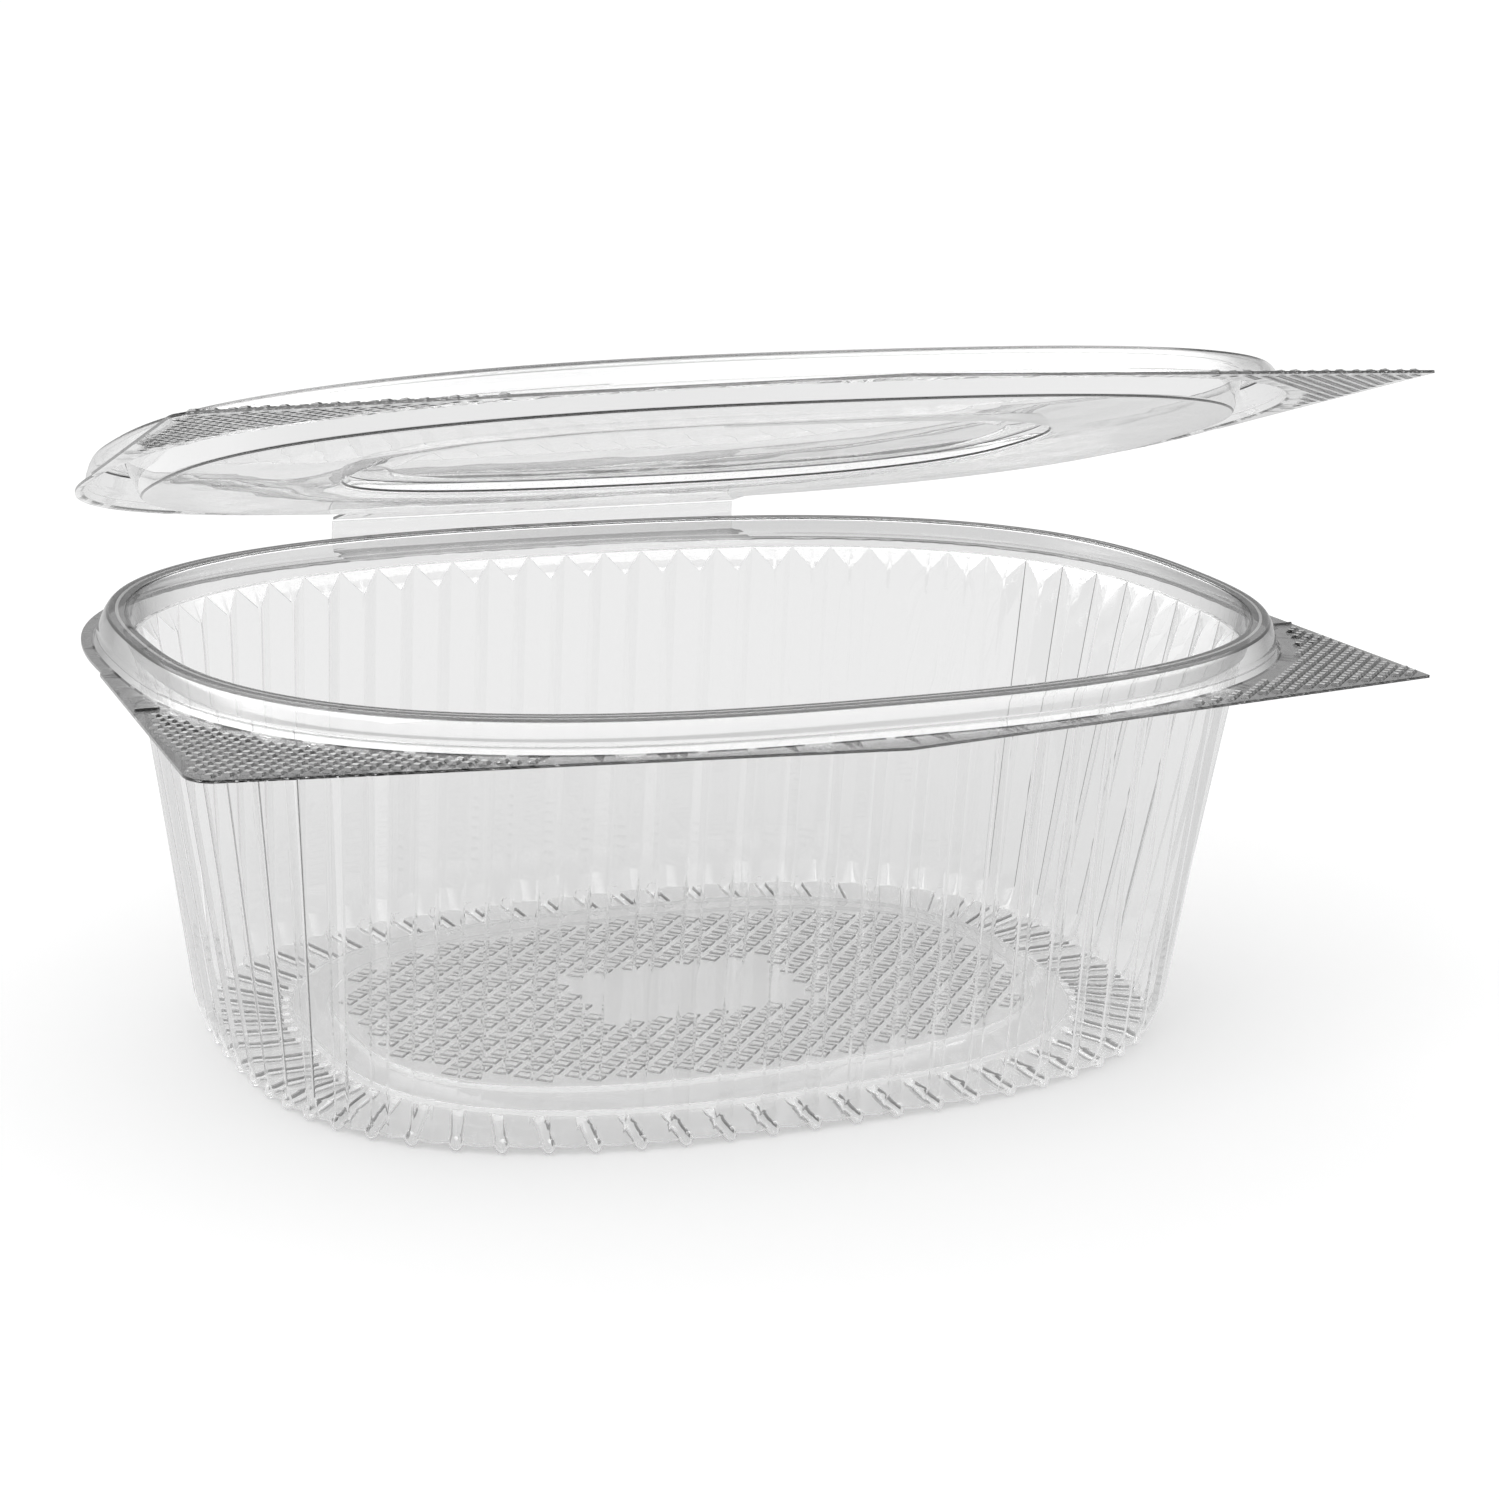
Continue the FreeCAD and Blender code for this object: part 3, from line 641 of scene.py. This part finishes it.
def tubParts():
    count = flutes["count"]
    wallTop = rimOval(-rim["band"] - rim["bandDraft"] - rim["ledge"])
    wallFoot = oval(wallTop[0] - flutes["leanEnd"], wallTop[1] - flutes["leanSide"], feet["squareness"])
    ringEdge = insetOval(wallFoot, feet["chamferRun"])
    ringInner = oval(ringEdge[0] - feet["ringEnd"], ringEdge[1] - feet["ringSide"], feet["squareness"])

    # crown, in columns of its own
    coarse = flutes["coarseColumns"]
    coarsePhase = np.arange(count * coarse) / coarse
    start = spacedPoints(wallTop, coarsePhase / count)
    away = ovalNormals(wallTop, start)
    farOff = np.full(count * coarse, noRib)
    crown = Rings(start, away, coarsePhase, farOff, 1, gauge["rim"])
    bandHead = rimOval(-rim["band"])
    addCrown(crown, 0, flangeHeight, rim["topHeight"], bandHead)
    for share, up in flutes["bandRows"]:
        crown.addOval(insetOval(bandHead, rim["bandDraft"] * share), seatHeight + up)
    crown.addOval(insetOval(wallTop, -flutes["seatReach"]), seatHeight, gaugeShare=gauge["wall"])

    # fluted wall: columns crowd where a flute turns and where a rib will be
    shares = np.array([share for share, _ in feet["columns"]])
    ribColumns = [k for k, (_, side) in enumerate(feet["columns"]) if side is not None]
    per = len(shares)
    phase = (np.arange(count)[:, None] + shares).ravel()
    across = np.array([noRib if side is None else side for _, side in feet["columns"]]) * feet["ribHalfWidth"]
    top = spacedPoints(wallTop, phase / count)
    normals = ovalNormals(wallTop, top)
    wall = Rings(top, normals, phase, np.tile(across, count), 0, gauge["wall"])
    footPlace = hitOval(top, normals, wallFoot)
    edgePlace = hitOval(top, normals, ringEdge)
    wallRun = seatHeight - wallFootHeight
    atEnd = np.abs(normals[:, 0]) > flutes["sharpFrom"]
    # at the tub's ends each flute's peak gets the painted grey fold line: painted shade
    ridge = (np.tile(np.isin(np.arange(per), (0, 1)), count) & atEnd) * paintedFoldShadeTone
    wall.add(top, seatHeight)
    wall.add(top * flutes["seatShare"], seatHeight - flutes["seatRun"], fluteDepth=flutes["depth"],
             closingDrop=flutes["closing"], tone=ridge)
    for share in flutes["rows"]:
        depth = flutes["depth"] + (flutes["depthFoot"] - flutes["depth"]) * share
        place = top * (1 - share) + footPlace * share
        wall.add(place, seatHeight - wallRun * share, fluteDepth=depth, tone=ridge)

    # chamfer, with the nubs of the ribs pushed out of it
    chamfer = wallFootHeight - ringHeight
    for share, out, drop in feet["chamferRows"]:
        depth = flutes["depthFoot"] + (flutes["depthRing"] - flutes["depthFoot"]) * share
        wall.add(footPlace * (1 - share) + edgePlace * share, wallFootHeight - chamfer * share,
                 gaugeShare=gauge["floor"], fluteDepth=depth, ribOut=out, ribDrop=drop)
    above, short, drop = feet["chamferEnd"]
    wall.add(edgePlace, ringHeight + above, gaugeShare=gauge["floor"], fluteDepth=flutes["depthRing"],
             ribOut=feet["nubReach"] - short, ribDrop=drop)

    # the ring; its ribs keep their width, and the columns between them spread evenly
    first, last = ribColumns[0], ribColumns[-1]
    valley = (np.arange(count) * per + (first + last) // 2).repeat(per)
    tangent = np.column_stack([-normals[valley, 1], normals[valley, 0]]) * np.tile(across, count)[:, None]
    isRib = np.tile(np.abs(across) < noRib / 2, count)
    innerPlace = hitOval(top, normals, ringInner)
    sides = np.abs(np.tile(across, count)) / feet["ribHalfWidth"]
    low, high = feet["ribEdge"]
    paintedRibEdgeShade = np.where((sides > low) & (sides < high), paintedFoldShadeTone, 0)  # a rib's edges are painted as grey fold lines: painted shade

    def ringRow(inset, share, **reach):
        place = edgePlace * (1 - share) + innerPlace * share - normals * inset
        grid = np.where(isRib[:, None], place[valley] + tangent, place).reshape(count, per, 2)
        peak, nextPeak = grid[:, 0], np.roll(grid[:, 0], -1, axis=0)
        for k in range(1, first):
            grid[:, k] = peak + (grid[:, first] - peak) * shares[k] / shares[first]
        for k in range(last + 1, per):
            grid[:, k] = nextPeak + (grid[:, last] - nextPeak) * (1 - shares[k]) / (1 - shares[last])
        wall.add(grid.reshape(-1, 2), ringHeight, gaugeShare=gauge["floor"], **reach)

    for inset, depthShare, outShare, drop in feet["nubRows"]:
        ringRow(inset, 0.0, fluteDepth=flutes["depthRing"] * depthShare,
                ribOut=feet["nubReach"] * outShare, ribDrop=drop)
    for inset, share in feet["ribRows"]:
        ringRow(inset, share, ribDrop=feet["stand"], tone=paintedRibEdgeShade)
    for inset, share, dropShare in feet["ribEnds"]:
        ringRow(inset, share, ribDrop=feet["stand"] * dropShare)
    wall.addOval(insetOval(ringInner, feet["ringInset"]), ringHeight, gaugeShare=gauge["floor"])

    # steps up to the channel and to the panel
    steps = Rings(start, away, coarsePhase, farOff, 0, gauge["floor"])
    channelInner = oval(ringInner[0] - floorPanel["channelEnd"], ringInner[1] - floorPanel["channelSide"],
                        feet["squareness"])
    onRing = hitOval(start, away, ringInner)
    onChannel = sameTurn(onRing, ringInner, channelInner)
    base = ringHeight
    for onto, shape, rows, rise in ((onRing, ringInner, "channelRows", floorPanel["channelRise"]),
                                    (onChannel, channelInner, "panelRows", floorPanel["panelRise"])):
        for inset, up in floorPanel[rows]:
            steps.add(sameTurn(onto, shape, insetOval(shape, inset)), base + rise * up)
        base += rise
    panelOval = insetOval(channelInner, floorPanel["panelRows"][-1][0])

    plate = flangeSheet(crown.places[0][:, :2], rimOval(rim["flare"] + rimCrown["filletRows"][0][0]),
                        hingeFilm["tubTongue"], flange["knurlMiddle"])
    panel = floorSheet(steps.places[-1][:, :2], panelOval)
    panelHeight = steps.places[-1][0, 2]
    return [flatPart(plate, flangeHeight, 1, gauge["flange"], flange["knurlHeight"]), ringsPart(crown),
            zippedPart(crown.places[-1], coarsePhase, wall.places[0], phase, 0, gauge["wall"]), ringsPart(wall),
            zippedPart(wall.places[-1], phase, steps.places[0], coarsePhase, 0, gauge["floor"]), ringsPart(steps),
            flatPart(panel, panelHeight, 0, gauge["floor"], floorPanel["knurlHeight"])]


lid = {
    "openAngle": 20.0, "nestSide": 0.35, "nestTop": 0.3, "panelDrop": 1.5, "plugRun": 2.0, "columns": 400,
    "islandHalfLength": 58.0, "islandHalfWidth": 33.0, "islandSquareness": 2.6, "islandRise": 2.0,
    "islandFoot": 0.9,
    # down the plug: share of its height; then its bend into the panel: inset, height, tone (1 painted shade)
    "plugRows": (0.3, 0.6, 0.85), "bendRows": ((0.02, 0.35, 0), (0.1, 0.2, 1), (0.24, 0.06, 1), (0.9, 0.0, 0)),
    "panelRows": (0.3, 0.65, 1.0),
    # up onto the island: inset, share of its rise, tone (1 painted shade); and down into its dish: inset and depth
    "islandRows": ((-0.55, 0.03, 0), (-0.35, 0.12, 1), (-0.2, 0.22, 1), (-0.05, 0.5, 0), (0.15, 0.8, 1),
                   (0.28, 0.9, 1), (0.5, 0.98, 0), (0.95, 1.0, 0)),
    "dishRows": ((5.0, 0.0), (5.6, -0.12), (6.4, -0.5), (7.2, -0.55)),
}


def lidPlace():
    # the lid is drawn closed and then swung open about the hinge line
    lift = hingeHeight - (flangeHeight + lid["nestTop"] + sheetGauge / 2)
    axis = Vector((0, hingeReach * mm, hingeHeight * mm))
    swing = Matrix.Rotation(math.radians(-lid["openAngle"]), 4, "X")
    return (Matrix.Translation((0, middleY * mm, 0)) @ Matrix.Translation(axis) @ swing
            @ Matrix.Translation(-axis) @ Matrix.Translation((0, 0, lift * mm)))


def makeLid(relief, sheets):
    columns = lid["columns"]
    grow = lid["nestSide"] + sheetGauge
    foot = flangeHeight + lid["nestTop"] + sheetGauge
    head = rim["topHeight"] + lid["nestTop"] + sheetGauge
    panel = foot - lid["panelDrop"]
    plugHead = rimOval(-rim["band"] - lid["nestSide"] - sheetGauge)
    start = spacedPoints(plugHead, np.arange(columns) / columns)
    normals = ovalNormals(plugHead, start)
    still, farOff = np.zeros(columns), np.full(columns, noRib)
    crown = Rings(start, normals, still, farOff, 1, gauge["lid"])
    addCrown(crown, grow, foot, head, plugHead)

    rings = Rings(start, normals, still, farOff, 0, gauge["lid"])
    rings.add(crown.places[-1][:, :2], crown.places[-1][:, 2])
    for share in lid["plugRows"]:
        rings.addOval(insetOval(plugHead, lid["plugRun"] * share), head - (head - panel) * share)
    plugFoot = insetOval(plugHead, lid["plugRun"])
    for inset, up, tone in lid["bendRows"]:
        rings.addOval(insetOval(plugFoot, inset), panel + up, tone=tone)
    edge = insetOval(plugFoot, lid["bendRows"][-1][0])
    last = hitOval(start, normals, edge)
    island = oval(lid["islandHalfLength"], lid["islandHalfWidth"], lid["islandSquareness"])
    islandFoot = insetOval(island, -lid["islandFoot"])
    onIsland = sameTurn(last, edge, islandFoot)
    for share in lid["panelRows"]:
        rings.add(last * (1 - share) + onIsland * share, panel)
    for inset, up, tone in lid["islandRows"]:
        place = sameTurn(onIsland, islandFoot, insetOval(island, inset))
        rings.add(place, panel + lid["islandRise"] * up, tone=tone)
    inner = rings.places[-1][:, :2]
    middle = insetOval(island, lid["islandRows"][-1][0])
    for inset, up in lid["dishRows"]:
        rings.add(sameTurn(inner, middle, insetOval(middle, inset)), panel + lid["islandRise"] + up)
    loop = rings.places[-1][:, :2]
    level = rings.places[-1][0, 2]

    plate = flangeSheet(crown.places[0][:, :2], rimOval(rim["flare"] + grow + rimCrown["filletRows"][0][0]),
                        hingeReach - hingeFilm["gap"], 0)
    inside = filledSheet([loop], np.zeros((0, 2, 4, 2)), lambda p: np.ones(len(p), bool))
    parts = [ringsPart(crown), ringsPart(rings), flatPart(plate, foot, 1, gauge["flange"], flange["knurlHeight"]),
             flatPart(inside, level, 0, gauge["lid"])]
    return formedPiece("lidShell", parts, relief, {}, sheets, lidPlace())


hingeFilm = {
    "gap": 0.45, "tubTongue": 69.0, "columns": 24, "sharpAngle": 50, "overlap": 0.02,
    # up the crease from the tub, and down it from the lid: place, height, half its thickness
    "lowRows": ((-0.12, 0.06, 0.2), (0, 0.3, 0.2), (0, 1.2, 0.2), (0, 2.6, 0.2)),
    "highRows": ((0, -0.9, 0.2), (0, -0.45, 0.22), (0, 0, 0.16)), "tongueHalf": 0.2,
}


def makeFilm(material):
    # the crease between the tongues, drawn in its section and carried along the hinge
    low, high = flangeHeight - sheetGauge / 2, hingeHeight - hingeFilm["gap"]
    rows = [(hingeFilm["tubTongue"] + hingeFilm["overlap"], low, hingeFilm["tongueHalf"])]
    for base, key in ((low, "lowRows"), (high, "highRows")):
        rows += [(hingeReach + out, base + up, half) for out, up, half in hingeFilm[key]]
    section = []
    for side in (1, -1):
        for k in range(len(rows))[::side]:
            before, after = rows[max(k - 1, 0)], rows[min(k + 1, len(rows) - 1)]
            way = Vector((after[0] - before[0], after[1] - before[1])).normalized()
            y, z, half = rows[k]
            section.append((y + way.y * half * side, z - way.x * half * side))
    work = bmesh.new()
    half = flange["tongueHalfLength"]
    loops = [[work.verts.new((x * mm, y * mm, z * mm)) for y, z in section]
             for x in np.linspace(-half, half, hingeFilm["columns"])]
    for a, b in zip(loops, loops[1:]):
        for k in range(len(a)):
            n = (k + 1) % len(a)
            work.faces.new((a[k], a[n], b[n], b[k]))
    work.faces.new(loops[0])
    work.faces.new(loops[-1][::-1])
    bmesh.ops.recalc_face_normals(work, faces=work.faces)
    mesh = bpy.data.meshes.new("hingeFilm")
    work.to_mesh(mesh)
    work.free()
    mesh.transform(Matrix.Translation((0, middleY * mm, 0)))
    mesh.shade_smooth()
    mesh.set_sharp_from_angle(angle=math.radians(hingeFilm["sharpAngle"]))
    mesh.materials.append(material)
    made = bpy.data.objects.new("hingeFilm", mesh)
    bpy.context.scene.collection.objects.link(made)
    return made, (0, (hingeReach + middleY) * mm, low * mm), (0, (hingeReach + middleY) * mm, high * mm)


def linear(code):
    parts = [int(code[k:k + 2], 16) / 255 for k in (1, 3, 5)]
    return tuple(c / 12.92 if c <= 0.04045 else ((c + 0.055) / 1.055) ** 2.4 for c in parts) + (1.0,)


# one PET throughout; its darker sheets are painted shade at bends, folds and cut edges, and its milky sheet a
# painted highlight on tops and streaks
# colour is the sheet's own tint; edge is the painted shade where one looks along the sheet
clearSheet = {"colour": "#F7F7F7", "edge": "#F0F0F0", "ior": 1.55, "roughness": 0.0, "paintedHighlightMilk": 0.0,
              "waviness": 0.12, "waveWidth": 9, "waveHeight": 40, "waveDepth": 0.0004,
              "slantFrom": (0.35, 0.7), "deepest": 5.5, "paintedGlowLevel": 0.75}
paintedRimShadeLook = dict(clearSheet, colour="#F2F2F2", edge="#666666")  # thick; painted shade: grey where one looks along the sheet
paintedBendShadeLook = dict(clearSheet, colour="#303030", edge="#1C1C1C")  # painted shade: a dark sheet where a tight bend turns the light away
paintedFoldShadeLook = dict(clearSheet, colour="#8A8A8A", edge="#707070")  # painted shade: a thin grey line at a soft fold
paintedHighlightLook = dict(clearSheet, paintedHighlightMilk=0.6)  # painted highlight: a milky white share on tops and streaks that show bright


def clearPet(name, look):
    # thermoformed PET: clear and glossy, faintly wavy where the sheet was drawn over the mould,
    # with painted shade: greyer where one looks along the sheet
    material = bpy.data.materials.new(name)
    material.use_nodes = True
    tree = material.node_tree
    tree.nodes.clear()
    wide, tall = 1 / (look["waveWidth"] * mm), 1 / (look["waveHeight"] * mm)
    place = addNode(tree, "ShaderNodeTexCoord")
    drawn = addNode(tree, "ShaderNodeMapping", {"Vector": place.outputs["Object"], "Scale": (wide, wide, tall)})
    waves = addNode(tree, "ShaderNodeTexNoise", {
        "Vector": drawn, "Scale": 1.0, "Detail": 0.0, "Roughness": 0.5})
    bump = addNode(tree, "ShaderNodeBump", {
        "Strength": look["waviness"], "Distance": look["waveDepth"], "Height": waves})
    slant = addNode(tree, "ShaderNodeLayerWeight", {"Blend": 0.5})
    along = addNode(tree, "ShaderNodeMapRange", {
        "Value": slant.outputs["Facing"], "From Min": look["slantFrom"][0], "From Max": look["slantFrom"][1]})
    # painted shade: the colour turns to edge where one looks along the sheet
    paintedGrazingShade = addNode(tree, "ShaderNodeMix", {
        0: along, 6: linear(look["colour"]), 7: linear(look["edge"])}, data_type="RGBA")
    shader = addNode(tree, "ShaderNodeBsdfPrincipled", {
        "Base Color": paintedGrazingShade.outputs[2], "IOR": look["ior"], "Transmission Weight": 1 - look["paintedHighlightMilk"],
        "Roughness": look["roughness"], "Normal": bump})
    # past the deepest ray the sheet glows white, as bright as the room: painted light standing in for trapped light
    path = addNode(tree, "ShaderNodeLightPath")
    paintedGlowMask = addNode(tree, "ShaderNodeMath", {0: path.outputs["Ray Depth"], 1: look["deepest"]},
                      operation="GREATER_THAN")
    room = addNode(tree, "ShaderNodeEmission", {"Color": linear("#FFFFFF"), "Strength": look["paintedGlowLevel"]})
    mixed = addNode(tree, "ShaderNodeMixShader", {0: paintedGlowMask, 1: shader, 2: room})
    addNode(tree, "ShaderNodeOutputMaterial", {"Surface": mixed})
    return material


view = {"target": (4.160, -10.647, 46.900), "azimuth": -27.45, "elevation": 16.36, "roll": 3.266,
        "distance": 509.24, "lens": 76.634, "sensor": 36, "nearest": 0.01, "farthest": 60}


def makeCamera():
    a, e, r = (math.radians(view[k]) for k in ("azimuth", "elevation", "roll"))
    back = Vector((math.sin(a) * math.cos(e), -math.cos(a) * math.cos(e), math.sin(e)))
    right = Vector((math.cos(a), math.sin(a), 0))
    up = back.cross(right)
    rightRolled = right * math.cos(r) + up * math.sin(r)
    upRolled = up * math.cos(r) - right * math.sin(r)
    lens = bpy.data.cameras.new("productCamera")
    lens.lens = view["lens"]
    lens.sensor_width = view["sensor"]
    lens.clip_start = view["nearest"]
    lens.clip_end = view["farthest"]
    camera = bpy.data.objects.new("productCamera", lens)
    place = Matrix((rightRolled, upRolled, back)).transposed().to_4x4()
    place.translation = (Vector(view["target"]) + back * view["distance"]) * mm
    camera.matrix_world = place
    bpy.context.scene.collection.objects.link(camera)
    bpy.context.scene.camera = camera


studio = {
    "board": 12.0, "boardColour": "#F2F2F2",  # half size of the floor in metres, and its colour
    "boardShare": 0.18, "boardGlow": 2.2,  # how much of the floor glows by itself, and how brightly
    "throughShare": 0.6, "throughGlow": 0.95,  # the same as it shows through the sheet
    "plain": 0.9, "shade": 0.4,  # what matt surfaces receive in the open, and through the sheet
    # brightness by height above the horizon: in gloss, towards the camera and to its sides, and
    # as the room shows through the sheet
    "front": ((-0.1, 0.25), (0.1, 0.2), (0.27, 0.2), (0.35, 3.2), (0.85, 4.5), (1.0, 3.0)),
    "sides": ((-0.1, 0.8), (0.1, 1.1), (0.32, 1.2), (0.42, 3.2), (0.85, 4.5), (1.0, 3.0)),
    "back": ((-0.1, 0.8), (0.02, 0.6), (0.12, 0.4), (0.45, 0.4), (0.55, 3.2), (0.85, 4.5), (1.0, 3.0)),
    # where the front and the back begin and are complete, and where the sides change: cosines
    "frontFrom": (0.35, 0.8), "backFrom": (-0.5, -0.9), "sideSpan": (-0.7, 0.7),
    "leftToRight": (1.4, 1.0),  # the side lights, left of the camera and right of it
    "lampPlace": (-0.55, -0.3, 0.75), "lampAim": (0, 0, 0.04), "lampSize": 0.5, "lampEnergy": 1.2,
}


def glossRoom(tree, way):
    # what gloss sees of the room in one direction: dark behind the camera, bright at its sides
    azimuth = math.radians(view["azimuth"])
    parts = addNode(tree, "ShaderNodeSeparateXYZ", {0: way})
    height = addNode(tree, "ShaderNodeMapRange", {"Value": parts.outputs["Z"], "From Min": -1.0, "From Max": 1.0})
    flat = addNode(tree, "ShaderNodeCombineXYZ", {"X": parts.outputs["X"], "Y": parts.outputs["Y"]})
    level = addNode(tree, "ShaderNodeVectorMath", {0: flat}, operation="NORMALIZE")
    across, along = math.cos(azimuth), math.sin(azimuth)
    ahead, right = (addNode(tree, "ShaderNodeVectorMath", {0: level, 1: toward}, operation="DOT_PRODUCT")
                    for toward in ((along, -across, 0), (across, along, 0)))
    front, back, tilt = (addNode(tree, "ShaderNodeMapRange", {
        "Value": turn.outputs["Value"], "From Min": studio[span][0], "From Max": studio[span][1],
        "To Min": low, "To Max": high}) for turn, span, (low, high) in (
            (ahead, "frontFrom", (0, 1)), (ahead, "backFrom", (0, 1)), (right, "sideSpan", studio["leftToRight"])))
    levels = []
    for side in ("sides", "front", "back"):
        node = addNode(tree, "ShaderNodeValToRGB", {0: height})
        stops = node.color_ramp.elements
        while len(stops) < len(studio[side]):
            stops.new(0.5)
        for stop, (at, glow) in zip(stops, studio[side]):
            stop.position = (at + 1) / 2
            stop.color = (glow, glow, glow, 1)
        levels.append(node)
    room = addNode(tree, "ShaderNodeVectorMath", {0: levels[0], "Scale": tilt}, operation="SCALE")
    for share, glow in ((front, levels[1]), (back, levels[2])):
        room = addNode(tree, "ShaderNodeMix", {0: share, 6: room, 7: glow}, data_type="RGBA").outputs[2]
    return room


def floorMaterial():
    # matt white studio board: shows as white, keeps a soft shadow
    material = bpy.data.materials.new("mattWhiteBoard")
    material.use_nodes = True
    tree = material.node_tree
    tree.nodes.clear()
    path = addNode(tree, "ShaderNodeLightPath")
    place = addNode(tree, "ShaderNodeNewGeometry")
    way = addNode(tree, "ShaderNodeVectorMath", {0: place.outputs["Position"]}, operation="NORMALIZE")
    shown = addNode(tree, "ShaderNodeBsdfDiffuse", {"Color": linear(studio["boardColour"])})
    through = path.outputs["Is Transmission Ray"]
    mirrored = addNode(tree, "ShaderNodeMath", {0: path.outputs["Is Glossy Ray"], 1: through}, operation="SUBTRACT")
    glows = ((path.outputs["Is Camera Ray"], studio["boardShare"], linear("#FFFFFF"), studio["boardGlow"]),
             (through, studio["throughShare"], linear("#FFFFFF"), studio["throughGlow"]),
             (mirrored.outputs[0], 1.0, glossRoom(tree, way.outputs[0]), 1.0))
    for ray, most, colour, strength in glows:
        share = addNode(tree, "ShaderNodeMath", {0: ray, 1: most}, operation="MULTIPLY")
        glow = addNode(tree, "ShaderNodeEmission", {"Color": colour, "Strength": strength})
        shown = addNode(tree, "ShaderNodeMixShader", {0: share, 1: shown, 2: glow})
    addNode(tree, "ShaderNodeOutputMaterial", {"Surface": shown})
    return material


def makeStudio():
    mesh = bpy.data.meshes.new("studioFloor")
    half = studio["board"]
    mesh.from_pydata([(-half, -half, 0), (half, -half, 0), (half, half, 0), (-half, half, 0)], [], [(0, 1, 2, 3)])
    mesh.materials.append(floorMaterial())
    board = bpy.data.objects.new("studioFloor", mesh)
    bpy.context.scene.collection.objects.link(board)

    world = bpy.data.worlds.new("studioLight")
    bpy.context.scene.world = world
    world.use_nodes = True
    tree = world.node_tree
    tree.nodes.clear()
    way = addNode(tree, "ShaderNodeTexCoord").outputs["Generated"]
    path = addNode(tree, "ShaderNodeLightPath")
    shown = addNode(tree, "ShaderNodeBackground", {"Color": linear("#FFFFFF"), "Strength": studio["plain"]})
    matted = addNode(tree, "ShaderNodeMath", {0: path.outputs["Diffuse Depth"], 1: 0.5}, operation="GREATER_THAN")
    shaded = addNode(tree, "ShaderNodeMath", {0: path.outputs["Is Glossy Ray"], 1: matted},
                     operation="MULTIPLY")
    for ray, colour, strength in ((path.outputs["Is Glossy Ray"], glossRoom(tree, way), 1.0),
                                  (shaded.outputs[0], linear("#FFFFFF"), studio["shade"]),
                                  (path.outputs["Is Camera Ray"], linear("#FFFFFF"), 1.0)):
        light = addNode(tree, "ShaderNodeBackground", {"Color": colour, "Strength": strength})
        shown = addNode(tree, "ShaderNodeMixShader", {0: ray, 1: shown, 2: light})
    addNode(tree, "ShaderNodeOutputWorld", {"Surface": shown})

    # one soft lamp high on the left gives the shadow its side
    light = bpy.data.lights.new("keySoftbox", "AREA")
    light.shape = "SQUARE"
    light.size = studio["lampSize"]
    light.energy = studio["lampEnergy"]
    lamp = bpy.data.objects.new("keySoftbox", light)
    lamp.location = studio["lampPlace"]
    lamp.rotation_euler = (Vector(studio["lampAim"]) - lamp.location).to_track_quat("-Z", "Y").to_euler()
    bpy.context.scene.collection.objects.link(lamp)


makeCamera()
makeStudio()
drawn, paintedRimShade, paintedBendShade, paintedFoldShade, paintedHighlight = (clearPet(name, look) for name, look in (
    ("thermoformedPetDrawn", clearSheet), ("thermoformedPetRimPaintedShade", paintedRimShadeLook), ("thermoformedPetPaintedBendShade", paintedBendShadeLook),
    ("thermoformedPetPaintedFoldShade", paintedFoldShadeLook), ("thermoformedPetPaintedHighlight", paintedHighlightLook)))
relief = reliefTree()
print("studio and materials ready")

tubShell = formedPiece("tubShell", tubParts(), relief, {"Rib Half Width": feet["ribHalfWidth"]},
                       (drawn, paintedRimShade, paintedBendShade, paintedFoldShade, paintedHighlight), Matrix.Translation((0, middleY * mm, 0)))
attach(tubShell, "tub")
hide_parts("tub")
print("tub:", len(tubShell.data.polygons), "faces")

lidShell = makeLid(relief, (drawn, drawn, paintedBendShade, paintedFoldShade, paintedHighlight))
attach(lidShell, "lid")
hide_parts("lid")
print("lid:", len(lidShell.data.polygons), "faces")

film, filmStart, filmEnd = makeFilm(drawn)
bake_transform(film, "tub", "hinge_strip", start=filmStart, end=filmEnd)
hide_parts("hinge_strip")
print("film hinge:", len(film.data.polygons), "faces")

bpy.context.scene.view_settings.view_transform = "Standard"
bpy.context.scene.cycles.max_bounces = 8
bpy.context.scene.cycles.transmission_bounces = 8
bpy.context.scene.cycles.glossy_bounces = 5
print("done")
